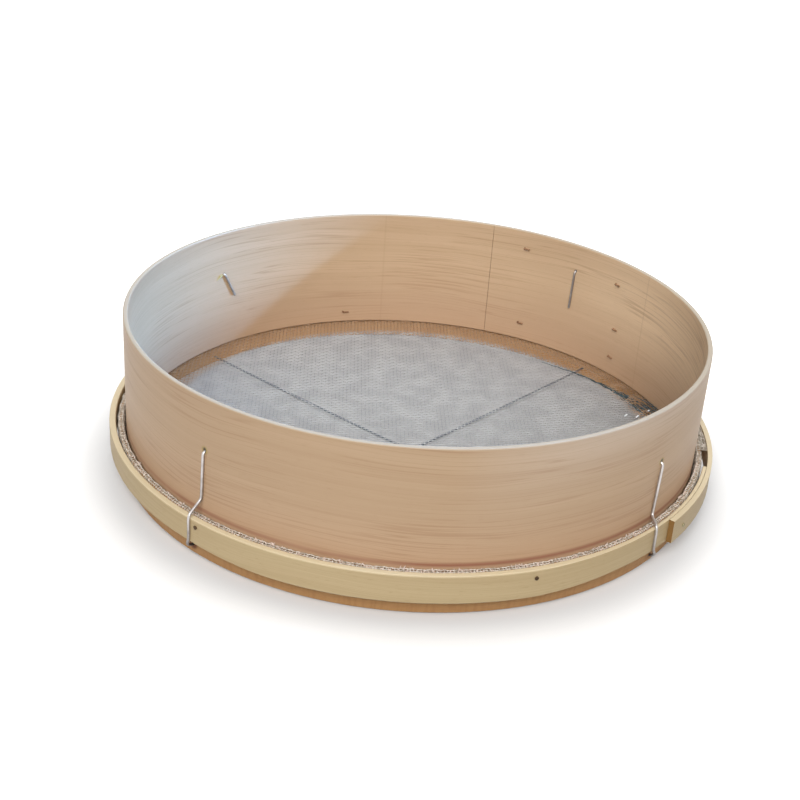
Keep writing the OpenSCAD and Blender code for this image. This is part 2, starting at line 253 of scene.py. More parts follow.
def facing(tree, x, y):
    """How far a face looks outwards, along the hoop and upwards.

    The first two are the radius where it looks straight that way, the third 1.
    """
    normal = tree.nodes.new("ShaderNodeSeparateXYZ")
    tree.links.new(tree.nodes.new("ShaderNodeNewGeometry").outputs["Normal"], normal.inputs[0])
    nx, ny, up = normal.outputs
    outward = maths(tree, "ADD", maths(tree, "MULTIPLY", nx, x), maths(tree, "MULTIPLY", ny, y))
    along = maths(tree, "SUBTRACT", maths(tree, "MULTIPLY", ny, x), maths(tree, "MULTIPLY", nx, y))
    return outward, maths(tree, "ABSOLUTE", along), up


def paint_light_inside(tree, base, x, outward, inside):
    """Paints light on the inner face, making it paler, and paler still towards +x."""
    factor = mix(tree, remap(tree, x, 0.5 * HOOP_R, 0.95 * HOOP_R), *inside)
    return mix(tree, remap(tree, outward, 0.0, -0.5 * HOOP_R), base, factor, "MULTIPLY")


def grained(tree, base, wood, noises, line, fleck):
    """Draws dark lines, fibres, pores and clouds on the wood."""
    dark = tinted(wood, *DARK_LINE)
    # The lines lie where the noise crosses its middle, and come and go
    near = maths(tree, "ABSOLUTE", maths(tree, "SUBTRACT", noises["lines"], 0.5))
    lines = maths(tree, "MULTIPLY", remap(tree, near, 0.0, 0.04, 1.0, 0.0),
                  remap(tree, noises["patches"], 0.36, 0.6, 0.2, 1.0))
    base = mix(tree, maths(tree, "MULTIPLY", lines, line), base, dark)
    base = mix(tree, remap(tree, noises["fibres"], 0.3, 0.7, fleck * 2.4, 0.0), base, dark)
    base = mix(tree, remap(tree, noises["pores"], 0.26, 0.36, fleck * 3.0, 0.0), base, dark)
    return mix(tree, remap(tree, noises["clouds"], 0.25, 0.75, 0.0, 0.12), base, tinted(wood, *CLOUD))


def paint_shade_line(tree, base, z, outward, clouds, height, reach, colour):
    """Paints a dark stripe of shade round the outer face at a height."""
    near = maths(tree, "ABSOLUTE", maths(tree, "SUBTRACT", z, height))
    shadow_amount = maths(tree, "MULTIPLY", remap(tree, near, 0.0, reach, 0.7, 0.0),
                 remap(tree, clouds, 0.3, 0.6, 0.4, 1.0))
    shadow_amount = maths(tree, "MULTIPLY", shadow_amount, remap(tree, outward, 0.0, 0.5 * HOOP_R))
    return mix(tree, shadow_amount, base, colour)


def upright_lines(tree, base, x, y, marks, dark):
    """Draws a line across the grain at each mark: azimuth, width and strength."""
    turn = maths(tree, "ARCTAN2", y, x)
    for deg, width, amount in marks:
        off = maths(tree, "ABSOLUTE", maths(tree, "SUBTRACT", turn, math.radians(deg)))
        base = mix(tree, remap(tree, off, 0.0, width / HOOP_R, amount, 0.0), base, dark)
    return base


def bentwood(name, wood, end, rim, line=0.3, fleck=0.05, spacing=1.0, low_shading=None, inside=None,
             shade_line=None, tinted_spots=(), marks=(), saw=0.0, rough=0.5, coat=0.2):
    """Wood bent round the z axis, so that its grain runs along the hoop.

    end and rim are the colours of its end grain and its sawn rim, and low the
    one that it takes on near the cloth: painted shade and warm reflected light.
    line, fleck and saw say how strongly its lines, fibres
    and saw marks show, and spacing how far apart the lines are.
    """
    mat, tree, bsdf = new_material(name, rough)
    co, place = place_of(tree)
    x, y, z = place
    outward, along, up = facing(tree, x, y)
    noises = grain(tree, co, place, spacing)
    dark = tinted(wood, *DARK_LINE)
    base = mix(tree, remap(tree, noises["bands"], 0.3, 0.7),
               tinted(wood, *DULL_BAND), tinted(wood, *PALE_BAND))
    # Painted light on the inner face
    if inside:
        base = paint_light_inside(tree, base, x, outward, inside)
    # Painted shade and warm reflected light towards the lower edge
    if low_shading:
        base = mix(tree, remap(tree, z, HOOP_Z0 + LOW_FROM, HOOP_Z0 + LOW_TO), base, low_shading)
    base = grained(tree, base, wood, noises, line, fleck)
    if saw:
        # Fine marks of the saw, nearly upright
        cuts = noise(tree, stretched(tree, place, SAW_CUTS), detail=2.0)
        base = mix(tree, remap(tree, cuts, 0.4, 0.7, 0.0, saw), base, dark)
    # A painted shadow line round the outer face
    if shade_line:
        base = paint_shade_line(tree, base, z, outward, noises["clouds"], *shade_line)
    for spot, size, colour, amount in tinted_spots:
        base = tint_spot(tree, base, co, spot, size, colour, amount)
    base = upright_lines(tree, base, x, y, marks, dark)
    base = mix(tree, remap(tree, up, 0.2, 0.75), base, rim)
    base = mix(tree, remap(tree, along, 0.45 * HOOP_R, 0.8 * HOOP_R), base, end)
    tree.links.new(base, bsdf.inputs["Base Color"])
    bump = tree.nodes.new("ShaderNodeBump")
    bump.inputs["Strength"].default_value = 0.12
    bump.inputs["Distance"].default_value = 0.4 * MM
    tree.links.new(noises["fibres"], bump.inputs["Height"])
    tree.links.new(bump.outputs[0], bsdf.inputs["Normal"])
    bsdf.inputs["Coat Weight"].default_value = coat
    bsdf.inputs["Coat Roughness"].default_value = 0.35
    return mat


# Radii between which the wires of the cloth take on the wall's colour as a painted
# reflection, and how far under the cloth a wire takes on the painted shade there
WALL_REFLECTION_FROM, WALL_REFLECTION_TO = 172 * MM, 180 * MM
SHADE_DROP = 4 * MM


def wire_metal(name, light, dark, rough, scale, metal, edge=None, low_shading=None):
    """Galvanised wire: grey metal with dull patches, as fine as scale.

    edge is a colour that the wires take on close to the wall, a painted reflection
    of the wall, and low one that they take on under the cloth, a painted shade.
    """
    mat, tree, bsdf = new_material(name, rough, metal)
    co, (x, y, z) = place_of(tree)
    spots = noise(tree, co, scale=scale, detail=3.0, rough=0.6)
    base = mix(tree, remap(tree, spots, 0.35, 0.65), dark, light)
    # Close to the wall, a painted reflection of the wall
    if edge:
        base = mix(tree, remap(tree, axis_distance(tree, x, y), WALL_REFLECTION_FROM, WALL_REFLECTION_TO), base, edge)
    if low_shading:
        base = mix(tree, remap(tree, z, CLOTH_LOW, CLOTH_LOW - SHADE_DROP), base, low_shading)
    tree.links.new(base, bsdf.inputs["Base Color"])
    tree.links.new(remap(tree, spots, 0.35, 0.65, rough + 0.15, rough), bsdf.inputs["Roughness"])
    return mat


# Pieces

def wires(name, runs, thick, mat, slot, *nodes, sides=4):
    """Makes one piece of round wires, each along a run of points.

    A run is a list of points, or of points each with its own thickness as a
    fourth number, as a share of thick. nodes are the CAD nodes that the piece
    stands in for, and sides is how many sides a wire has.
    """
    if not runs:
        raise RuntimeError(name + " has no wires")
    curve = bpy.data.curves.new(name, "CURVE")
    curve.dimensions = "3D"
    curve.bevel_depth = thick / 2
    curve.bevel_resolution = (sides - 4) // 2
    curve.use_fill_caps = True
    for run in runs:
        spline = curve.splines.new("POLY")
        spline.points.add(len(run) - 1)
        for point, place in zip(spline.points, run):
            point.co = (*place[:3], 1)
            point.radius = place[3] if len(place) > 3 else 1
    obj = bpy.data.objects.new(name, curve)
    bpy.context.scene.collection.objects.link(obj)
    curve.materials.append(mat)
    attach(obj, "root")
    if nodes:
        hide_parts(*nodes)
    return obj


def paint(name, mat):
    """Gives a CAD node its procedural material."""
    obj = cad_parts[name]
    obj.data.materials.clear()
    obj.data.materials.append(mat)
    return obj


# Sizes and colours that a user would change

class SieveWoodSettings(bpy.types.PropertyGroup):
    """Colours of the wood"""
    hoop: bpy.props.FloatVectorProperty(
        name="Hoop", description="Colour of the tall hoop's wood",
        default=srgb(195, 166, 134), size=3, subtype="COLOR", min=0, max=1)
    clamp: bpy.props.FloatVectorProperty(
        name="Clamp ring", description="Colour of the clamp ring's wood",
        default=srgb(197, 176, 136), size=3, subtype="COLOR", min=0, max=1)
    foot: bpy.props.FloatVectorProperty(
        name="Foot ring", description="Colour of the foot ring's wood",
        default=srgb(194, 148, 97), size=3, subtype="COLOR", min=0, max=1)


class SieveClothSettings(bpy.types.PropertyGroup):
    """Sizes of the woven wire cloth"""
    pitch: bpy.props.FloatProperty(
        name="Pitch", description="Distance between neighbouring wires of the cloth",
        default=2.8 * MM, min=2.4 * MM, max=20 * MM, unit="LENGTH")
    wire: bpy.props.FloatProperty(
        name="Wire", description="Diameter of the wires of the cloth",
        default=0.5 * MM, min=0.3 * MM, max=2 * MM, unit="LENGTH")
    turn: bpy.props.FloatProperty(
        name="Turn", description="Angle of the weave about the vertical axis",
        default=math.radians(4.0), subtype="ANGLE", unit="ROTATION")
    ruffle: bpy.props.FloatProperty(
        name="Ruffle", description="How far the cloth rises where it is ruffled at the right",
        default=3.0 * MM, min=0.0, max=10 * MM, unit="LENGTH")


class SieveBorderSettings(bpy.types.PropertyGroup):
    """Sizes of the folded border of the cloth"""
    pitch: bpy.props.FloatProperty(
        name="Pitch", description="Distance between neighbouring wires of the border",
        default=2.2 * MM, min=1.5 * MM, max=20 * MM, unit="LENGTH")
    wire: bpy.props.FloatProperty(
        name="Wire", description="Diameter of the wires of the border",
        default=0.7 * MM, min=0.3 * MM, max=1 * MM, unit="LENGTH")
    fray: bpy.props.FloatProperty(
        name="Fray", description="Greatest height of the cut ends that stand up from the fold",
        default=2.0 * MM, min=0.0, max=8 * MM, unit="LENGTH")


class SieveStageSettings(bpy.types.PropertyGroup):
    """Light of the picture"""
    sky: bpy.props.FloatProperty(
        name="Sky", description="Strength of the even white light", default=0.25, min=0, max=3)
    front: bpy.props.FloatProperty(
        name="Front", description="Strength of the soft light from the front", default=3.0, min=0, max=20)
    left: bpy.props.FloatProperty(
        name="Left", description="Strength of the soft light from the left", default=0.15, min=0, max=20)
    right: bpy.props.FloatProperty(
        name="Right", description="Strength of the soft light from the right", default=0.25, min=0, max=20)
    back: bpy.props.FloatProperty(
        name="Back", description="Strength of the soft light from behind", default=0.7, min=0, max=20)
    window: bpy.props.FloatProperty(
        name="Window", description="Power of the cool light from the right", default=0.37, min=0, max=200,
        unit="POWER")


# Where the tie wires run

TIE_D = 1.8 * MM
TAIL_Z = 56 * MM
# How far a tie stays over the clamp ring and tucks in under it, and its bends
TIE_OVER, TIE_TUCK, TIE_BEND = 2.6 * MM, 3.5 * MM, 2.6 * MM
# Height of the lower cross wire at the wall, and where it hangs to the floor
CROSS_Z = 4.6 * MM
SAG_Z = TIE_D / 2 + 0.15 * MM
# One tie: azimuths of its hole, tail, foot, loop and knee, then in mm the
# heights of its hole and of its knee over the clamp ring, and that ring's radius
Tie = namedtuple("Tie", "hole tail foot loop knee hole_z knee_z ring_r")
TIES = {
    "front_left": Tie(-127.0, -129.0, -129.2, -127.3, -127.5, 74.2, 9.1, 211.2),
    "front_right": Tie(-38.7, -36.9, -38.6, -42.0, -39.5, 71.2, 2.6, 209.8),
    "back_left": Tie(141.9, 138.9, 143.5, 142.6, 142.0, 75.7, 9.1, 211.2),
    "back_right": Tie(51.3, 51.7, 46.6, 49.0, 50.5, 88.0, 9.1, 211.2),
}


# The wooden hoops

# Painted light on the inner face: it is the wood's colour times the first of
# these, and at the right times the second
INSIDE_PAINTED_LIGHT = ((1.15, 1.15, 1.14), (1.56, 1.64, 1.70))
# Over the hole of each tie a yellowish rim and, in it, a dark spot of painted shade for the hole: how far
# up, size and colour
HOLE_RIMS_AND_SHADE = ((0.8 * MM, 3.4 * MM, srgb(170, 146, 84)), (1.2 * MM, 1.9 * MM, srgb(46, 36, 18)))
# The painted shadow line in the gap over the fold: how far up, reach and colour
SHADE_LINE_UP, SHADE_LINE_REACH, SHADE_LINE_RED = 1.6 * MM, 2.4 * MM, srgb(140, 76, 58)
# Upright lines on the hoop: azimuth, width and strength
HOOP_MARKS = ((99.5, 1.2 * MM, 0.14), (29.2, 1.0 * MM, 0.2))
# Rust on the foot ring at the front ties: azimuth, height, size and strength
RUST = srgb(104, 48, 20)
RUST_SPOTS = ((-129.2, 7.0 * MM, 5.0 * MM, 0.85), (-38.6, 5.0 * MM, 3.5 * MM, 0.5))


class SIEVE_OT_hoop(bpy.types.Operator):
    """Paint the tall hoop"""
    bl_idname = "sieve.hoop"
    bl_label = "Tall hoop"

    def execute(self, context):
        wood = tuple(context.scene.sieve_wood.hoop)
        # A yellowish rim at each hole, and a dark spot of painted shade in it
        tinted_spots = [(polar(HOOP_R, tie.hole, tie.hole_z * MM + up), size, colour, 0.9)
                  for tie in TIES.values() for up, size, colour in HOLE_RIMS_AND_SHADE]
        mat = bentwood("hoop_beech", wood, end=srgb(150, 112, 76), rim=srgb(184, 170, 150),
                       line=0.42, fleck=0.05, low_shading=tinted(wood, 0.97, 0.90, 0.89), inside=INSIDE_PAINTED_LIGHT,
                       shade_line=(FOLD_Z1 + SHADE_LINE_UP, SHADE_LINE_REACH, SHADE_LINE_RED), tinted_spots=tinted_spots,
                       marks=HOOP_MARKS, rough=0.55, coat=0.12)
        paint("tall_hoop", mat)
        return {"FINISHED"}


class SIEVE_OT_clamp(bpy.types.Operator):
    """Paint the clamp ring"""
    bl_idname = "sieve.clamp"
    bl_label = "Clamp ring"

    def execute(self, context):
        wood = tuple(context.scene.sieve_wood.clamp)
        mat = bentwood("clamp_pale_wood", wood, end=srgb(134, 98, 50), rim=srgb(218, 202, 168),
                       line=0.12, fleck=0.10, spacing=0.6, rough=0.6, coat=0.1)
        paint("clamp_ring", mat)
        return {"FINISHED"}


class SIEVE_OT_foot(bpy.types.Operator):
    """Paint the foot ring"""
    bl_idname = "sieve.foot"
    bl_label = "Foot ring"

    def execute(self, context):
        wood = tuple(context.scene.sieve_wood.foot)
        tinted_spots = [(polar(FOOT_R - 2 * MM, deg, z), size, RUST, amount)
                  for deg, z, size, amount in RUST_SPOTS]
        mat = bentwood("foot_brown_wood", wood, end=srgb(110, 74, 44), rim=srgb(170, 132, 92),
                       line=0.14, fleck=0.06, spacing=0.8, tinted_spots=tinted_spots, saw=0.3, rough=0.6, coat=0.05)
        paint("foot_ring", mat)
        return {"FINISHED"}


# The wire cloth

# Slack of the cloth: its height and the waves along x and y, in radians per metre
SLACK, SLACK_X, SLACK_Y = 0.5 * MM, 31.0, 27.0
# The ruffle and the crease at the right: azimuth and radius, each with its spread
RUFFLE_DEG, RUFFLE_WIDE, RUFFLE_R, RUFFLE_DEEP = 24.0, 17.0, 183 * MM, 11 * MM
CREASE_DEG, CREASE_WIDE, CREASE_R, CREASE_DEEP = 36.0, 26.0, 185 * MM, 2.5 * MM


def cloth_rise(x, y, ruffle):
    """Height of the cloth over its plane: slack waves and a ruffle at the right."""
    r = math.hypot(x, y)
    deg = math.degrees(math.atan2(y, x))
    fade = max(0.0, 1 - (r / CLOTH_R) ** 4)
    slack = SLACK * math.sin(SLACK_X * x + 1.3) * math.cos(SLACK_Y * y + 0.4) * fade
    near = math.exp(-((r - RUFFLE_R) / RUFFLE_DEEP) ** 2 - ((deg - RUFFLE_DEG) / RUFFLE_WIDE) ** 2)
    crease = math.exp(-((r - CREASE_R) / CREASE_DEEP) ** 2 - ((deg - CREASE_DEG) / CREASE_WIDE) ** 4)
    return slack + ruffle * (near * (0.55 + 0.45 * math.sin(0.9 * deg)) + 0.5 * crease)


# Loose gathered wires, dark teal as painted shade: azimuths at which each starts and ends, then the radii
# in mm. Painted highlights, as short near-white wires: x and y in mm at which each starts.
GATHERS = ((52.0, 12.0, 166.0, 187.0), (44.0, 13.0, 170.0, 190.0), (39.0, 12.0, 174.0, 184.0),
           (34.0, 13.0, 178.0, 193.0), (30.0, 11.0, 180.0, 188.0), (27.0, 13.0, 184.0, 196.0),
           (26.0, 12.0, 190.0, 197.5), (25.0, 12.0, 176.0, 185.0), (24.0, 14.0, 194.0, 198.0),
           (23.0, 11.0, 186.0, 192.0))
GLINTS = ((160.0, 45.0), (168.5, 44.5), (178.0, 55.0))
GLINT_WAY = Vector((2.0, 0.8, 1.4)) * MM
GATHER_STEPS = 24
GATHER_D, GLINT_D = 0.9 * MM, 1.1 * MM
# How high over the cloth the gathered wires lie and how far they stray, in mm
GATHER_UP, GATHER_STRAY = 1.2, 0.5
GLINT_UP = 0.8 * MM
# How far the woven wires end short of the border
CLOTH_INSET = 0.9 * MM


class SIEVE_OT_cloth(bpy.types.Operator):
    """Weave the flat wire cloth under the hoop"""
    bl_idname = "sieve.cloth"
    bl_label = "Woven wire cloth"

    def execute(self, context):
        s = context.scene.sieve_cloth
        # The brown near the wall is a painted reflection of the wall
        mat = wire_metal("cloth_galvanised", srgb(192, 194, 196), srgb(168, 170, 174),
                         rough=0.4, scale=60.0, metal=0.8, edge=srgb(182, 152, 124))
        swing = s.wire * 0.45
        reach = CLOTH_R - CLOTH_INSET
        half = int(reach / s.pitch)
        for name, quarter in (("cloth_warp", 0), ("cloth_weft", 1)):
            rot = Matrix.Rotation(s.turn + quarter * TAU / 4, 3, "Z")
            runs = []
            for i in range(-half, half + 1):
                x = (i + 0.5) * s.pitch
                chord = math.sqrt(max(reach ** 2 - x ** 2, 0))
                first, last = math.ceil(-chord / s.pitch - 0.5), math.floor(chord / s.pitch - 0.5)
                run = []
                for j in range(first, last + 1):
                    p = rot @ Vector((x, (j + 0.5) * s.pitch, 0))
                    # Over one wire and under the next, the weft as the warp's opposite
                    over = 1 if (i + j) % 2 == 0 else -1
                    p.z = CLOTH_Z + cloth_rise(p.x, p.y, s.ruffle) + over * swing
                    run.append(p)
                if len(run) > 2:
                    runs.append(run)
            wires(name, runs, s.wire, mat, "wire_cloth", "sieve_cloth")
        self.gathers()
        return {"FINISHED"}

    def gathers(self):
        """Lays the loose wires gathered along the wall at the right, dark teal as painted shade, with three
        short near-white wires as painted highlights.
        """
        shaded_teal = wire_metal("gathered_wires", srgb(96, 112, 116), srgb(58, 74, 78),
                          rough=0.5, scale=300.0, metal=0.5)
        rng = random.Random(3)
        runs = []
        for first, last, r0, r1 in GATHERS:
            run = []
            for k in range(GATHER_STEPS + 1):
                t = k / GATHER_STEPS
                r = (r0 + (r1 - r0) * t + rng.uniform(-GATHER_STRAY, GATHER_STRAY)) * MM
                z = CLOTH_HIGH + (GATHER_UP + rng.uniform(-GATHER_STRAY, GATHER_STRAY)) * MM
                run.append((*polar(r, first + (last - first) * t, z), 0.4 + 0.6 * math.sin(math.pi * t)))
            runs.append(run)
        wires("cloth_gathers", runs, GATHER_D, shaded_teal, "wire_cloth")
        bright = wire_metal("bright_ends", srgb(250, 252, 255), srgb(230, 236, 240),
                            rough=0.3, scale=300.0, metal=0.2)
        ends = []
        for x, y in GLINTS:
            p = Vector((x * MM, y * MM, CLOTH_HIGH + GLINT_UP))
            ends.append([p, p + GLINT_WAY])
        wires("cloth_bright_ends", ends, GLINT_D, bright, "wire_cloth", sides=6)


# Azimuths between which the border is folded over the foot ring
FOLD_FROM, FOLD_TO = -181.0, -8.0
# Azimuth to which the border is flared out to the clamp ring, and its radius
FLARE_TO, FLARE_R = 26.0, 209.0 * MM
# Stretches with cut ends that stand up: azimuths and how thickly they stand
FRAYS = ((-160.0, -140.0, 0.5), (-140.0, -118.0, 1.0), (-118.0, -40.0, 1.6), (-40.0, -12.0, 0.7),
         (0.0, 178.0, 0.2))


def border_kind(deg):
    """Whether the border is folded, flared into the lap's pocket or plain at an azimuth."""
    if deg < FOLD_TO:
        return "folded"
    return "flared" if deg < FLARE_TO else "plain"


# How far the border's wires lie inside the foot ring's wall, under the top of
# the fold and inside its outer face
IN_WALL, UNDER_TOP, IN_FOLD = 0.6 * MM, 0.35 * MM, 0.9 * MM
# How the fold falls outside the foot ring: depths under its top, and how far it
# stands off there
FOLD_FALL = ((6 * MM, 0.2 * MM), (11 * MM, -0.6 * MM), (15 * MM, 0.2 * MM))
# Heights over the foot ring of the flared border at the wall and at its rim, and
# how far under the foot ring's top the plain border ends
FLARE_WALL_UP, FLARE_RIM_UP, PLAIN_DOWN = 0.8 * MM, 0.6 * MM, 0.5 * MM


def border_profile(kind, deg):
    """The way of the border: up the hoop, over the foot ring and down."""
    wall, top, out = FOOT_R - FOOT_WALL - IN_WALL, FOLD_Z1 - UNDER_TOP, FOLD_R - IN_FOLD
    foot = CLOTH_R - AIR
    if kind == "folded":
        fall = [(out + off, top - down) for down, off in FOLD_FALL]
        return [(foot, WALL_Z0 + AIR), (wall, top), (out, top), *fall]
    if kind == "flared":
        # The clamp ring draws in towards the foot ring along its lap
        rim = FLARE_R - (FLARE_R - FOLD_R) * (deg - FOLD_TO) / (FLARE_TO - FOLD_TO)
        return [(foot, WALL_Z0 + AIR), (wall, FOOT_Z1 + FLARE_WALL_UP), (rim, FOOT_Z1 + FLARE_RIM_UP)]
    return [(foot, WALL_Z0 + AIR), (wall, FOOT_Z1 - PLAIN_DOWN)]


def spaced(path, step):
    """Points evenly spaced along a path of (radius, height) pairs."""
    pts = [Vector(p) for p in path]
    legs = [(a, b, (b - a).length) for a, b in zip(pts, pts[1:])]
    total = sum(leg[2] for leg in legs)
    count = max(2, round(total / step))
    out = []
    for k in range(count + 1):
        left = total * k / count
        for a, b, length in legs:
            if left <= length or b is pts[-1]:
                out.append(a.lerp(b, min(left / length, 1)))
                break
            left -= length
    return out


# The cut ends stand in two rows, and start a little under the top of the fold
TUFT_ROWS = (FOLD_R - 3.4 * MM, FOLD_R - 1.2 * MM)
TUFT_Z = FOLD_Z1 - 0.5 * MM


class SIEVE_OT_border(bpy.types.Operator):
    """Weave the border, folded over the foot ring, with its cut ends"""
    bl_idname = "sieve.border"
    bl_label = "Folded border"

    def execute(self, context):
        s = context.scene.sieve_border
        mat = wire_metal("border_galvanised", srgb(228, 220, 208), srgb(172, 162, 146),
                         rough=0.55, scale=400.0, metal=0.15)
        around = round(TAU * FOOT_R / s.pitch)
        step = 360.0 / around
        uprights, rows = [], {}
        for i in range(around):
            # From the start of the fold once round to it again
            deg = FOLD_FROM + i * step
            kind = border_kind(deg)
            line = []
            for j, p in enumerate(spaced(border_profile(kind, deg), s.pitch)):
                weave = s.wire * 0.4 * (1 if (i + j) % 2 else -1)
                sway = 0.25 * MM * math.sin(0.9 * i + j)
                line.append(polar(p.x + sway + weave, deg + 0.25 * step * math.sin(0.5 * j + 0.7 * i), p.y))
                rows.setdefault((kind, j), []).append(polar(p.x + sway - weave, deg, p.y))
            uprights.append(line)
        wires("border_uprights", uprights, s.wire, mat, "wire_cloth", "cloth_border")
        wires("border_rounds", rows.values(), s.wire, mat, "wire_cloth", "cloth_border")
        self.cut_ends(s, step)
        return {"FINISHED"}

    def cut_ends(self, s, step):
        """Stands cut ends up along the fold, denser at the front."""
        bright = wire_metal("cut_ends", srgb(232, 214, 202), srgb(190, 168, 152),
                            rough=0.5, scale=700.0, metal=0.1)
        rng = random.Random(7)
        stubs = []
        for a0, a1, share in FRAYS:
            for _ in range(int((a1 - a0) / step * share)):
                deg = rng.uniform(a0, a1)
                tuft = abs(math.sin(1.7 * deg) * math.sin(0.61 * deg))
                r = rng.choice(TUFT_ROWS) + rng.uniform(-0.7, 0.7) * MM
                tall = s.fray * rng.uniform(0.3, 1.0) * (0.4 + 0.6 * tuft)
                foot, middle = polar(r, deg, TUFT_Z), polar(r, deg, TUFT_Z + tall * 0.5)
                tip = polar(r + rng.uniform(-0.8, 0.6) * MM, deg + rng.uniform(-0.45, 0.45), TUFT_Z + tall)
                stubs.append([(*foot, 1.0), (*middle, 1.1), (*tip, 0.6)])
        wires("border_cut_ends", stubs, s.wire, bright, "wire_cloth", sides=6)


# The tie wires

def tie_corners(tie, cross_z):
    """Corners of one tie, from its tail inside the hoop to the foot ring."""
    inside = HOOP_R - HOOP_WALL - AIR - TIE_D / 2
    outside = HOOP_R + AIR + TIE_D / 2
    r = tie.ring_r * MM + AIR + TIE_D / 2
    foot_r = FOOT_R - FOOT_LEAN * (1 - cross_z / FOOT_Z1) + AIR + TIE_D / 2
    return [
        polar(inside, tie.tail, TAIL_Z),
        polar(inside, tie.hole, tie.hole_z * MM),
        polar(outside, tie.hole, tie.hole_z * MM),
        polar(outside, tie.knee, CLAMP_Z1 + tie.knee_z * MM),
        polar(r - 2 * AIR, tie.loop, CLAMP_Z1 + TIE_OVER),
        polar(r, tie.loop, CLAMP_Z1 - TIE_D / 2 - AIR),
        polar(r, tie.loop, CLAMP_EDGE_Z + TIE_D),
        polar(r - TIE_D / 2, (tie.foot + 2 * tie.loop) / 3, CLAMP_EDGE_Z - TIE_TUCK),
        polar(foot_r, tie.foot, cross_z)]


def sagging(a, b, drop, steps=12):
    """Points between two ends of a wire that hangs through by drop."""
    points = []
    for k in range(1, steps):
        fall = drop * (1 - (2 * k / steps - 1) ** 2)
        points.append(a.lerp(b, k / steps) - Vector((0, 0, fall)))
    return points


def rounded(corners, bend, steps=5):
    """A path through corners whose bends are rounded off."""
    path = [corners[0]]
    for a, b, c in zip(corners, corners[1:], corners[2:]):
        cut = min(bend, (a - b).length * 0.48, (c - b).length * 0.48)
        p, q = b + (a - b).normalized() * cut, b + (c - b).normalized() * cut
        for k in range(steps + 1):
            t = k / steps
            path.append(p * (1 - t) ** 2 + b * (2 * t * (1 - t)) + q * t ** 2)
    return path + [corners[-1]]


class SIEVE_OT_ties(bpy.types.Operator):
    """Bend the two tie wires"""
    bl_idname = "sieve.ties"
    bl_label = "Tie wires"

    def execute(self, context):
        # Under the cloth the ties are painted a darker blue-grey, as shade
        mat = wire_metal("tie_galvanised", srgb(196, 192, 190), srgb(156, 150, 146),
                         rough=0.3, scale=60.0, metal=0.8, low_shading=srgb(124, 130, 138))
        for name, a, b, z in (
                ("tie_wire_front_left_to_back_right", "front_left", "back_right", CROSS_Z + TIE_D + AIR),
                ("tie_wire_front_right_to_back_left", "front_right", "back_left", CROSS_Z)):
            near, far = tie_corners(TIES[a], z), tie_corners(TIES[b], z)[::-1]
            corners = near + sagging(near[-1], far[0], CROSS_Z - SAG_Z) + far
            wires(name + "_bent", [rounded(corners, TIE_BEND)], TIE_D, mat, "tie_wire", name, sides=12)
        return {"FINISHED"}


# Nails

# How finely the nails are speckled
NAIL_SPECKS = 500.0
# The splinter's two slivers: azimuth and height in mm of each end, and thickness
SPLINTER = ((142.3, 75.0, 144.4, 72.6, 1.0), (142.6, 76.0, 144.0, 74.6, 0.7))
SPLINTER_D, SPLINTER_OUT = 1.0 * MM, 0.8 * MM


class SIEVE_OT_nails(bpy.types.Operator):
    """Paint the nails and add the splinter at the back left hole"""
    bl_idname = "sieve.nails"
    bl_label = "Nails"

    def execute(self, context):
        iron = wire_metal("nail_iron", srgb(104, 80, 54), srgb(60, 44, 28),
                          rough=0.6, scale=NAIL_SPECKS, metal=0.4)
        brown = wire_metal("nail_brown", srgb(164, 124, 92), srgb(128, 94, 66),
                           rough=0.7, scale=NAIL_SPECKS, metal=0.1)
        pale = wire_metal("nail_dull", srgb(172, 164, 128), srgb(130, 124, 92),
                          rough=0.7, scale=NAIL_SPECKS, metal=0.1)
        for name, mat in (("hoop_lap_nail", brown), ("clamp_ring_nail", iron),
                          ("foot_ring_lap_nail", brown), ("clamp_ring_lap_nail", pale)):
            paint(name, mat)
        straw = srgb(206, 190, 128)
        mat = bentwood("splinter_pale", straw, end=straw, rim=straw)
        r = HOOP_R - HOOP_WALL - AIR
        runs = []
        for a0, z0, a1, z1, wide in SPLINTER:
            p, q = polar(r, a0, z0 * MM), polar(r - SPLINTER_OUT, a1, z1 * MM)
            runs.append([(*p, wide), (*(p + q) / 2 + Vector((0, 0, AIR)), wide), (*q, wide * 0.4)])
        wires("hole_splinter", runs, SPLINTER_D, mat, "pale_wood", sides=6)
        return {"FINISHED"}


# Floor, lights and camera

# The soft lights: azimuth and elevation of each, and how wide they look
SUNS = {"front": (-95, 40), "left": (180, 38), "right": (-5, 38), "back": (85, 42)}
SUN_SPREAD = 40
# Height on the sky's sphere at which its light starts and is full
SKY_FROM, SKY_TO = 0.25, 0.55
# The cool light from the right: where it comes from, what it is aimed at, its
# distance, its width and height, the spread of its beam and its colour
WINDOW_AZIMUTH, WINDOW_ELEVATION = 8.0, 19.0
WINDOW_AIM, WINDOW_AWAY = (0.2, 0.03, 0.205), 1.0
WINDOW_SIZE = (0.5, 0.12)
WINDOW_SPREAD = 5.0
WINDOW_BLUE = (0.22, 0.48, 0.95)
# The floor: its half width, how far it lies under the sieve, its grey under the sieve as it is seen, darker
# as painted shade, its grey round the sieve as it is seen, its grey as it lights the sieve, and the glow
# that it gains over a distance from the foot ring
FLOOR_HALF, FLOOR_GAP = 6.0, 0.2 * MM
FLOOR_SHADE_UNDER, FLOOR_ROUND, FLOOR_BOUNCE = (0.54,) * 3, (0.82,) * 3, (0.15,) * 3
FLOOR_GLOW, GLOW_REACH, UNDER_EDGE = 0.5, 60 * MM, 8 * MM


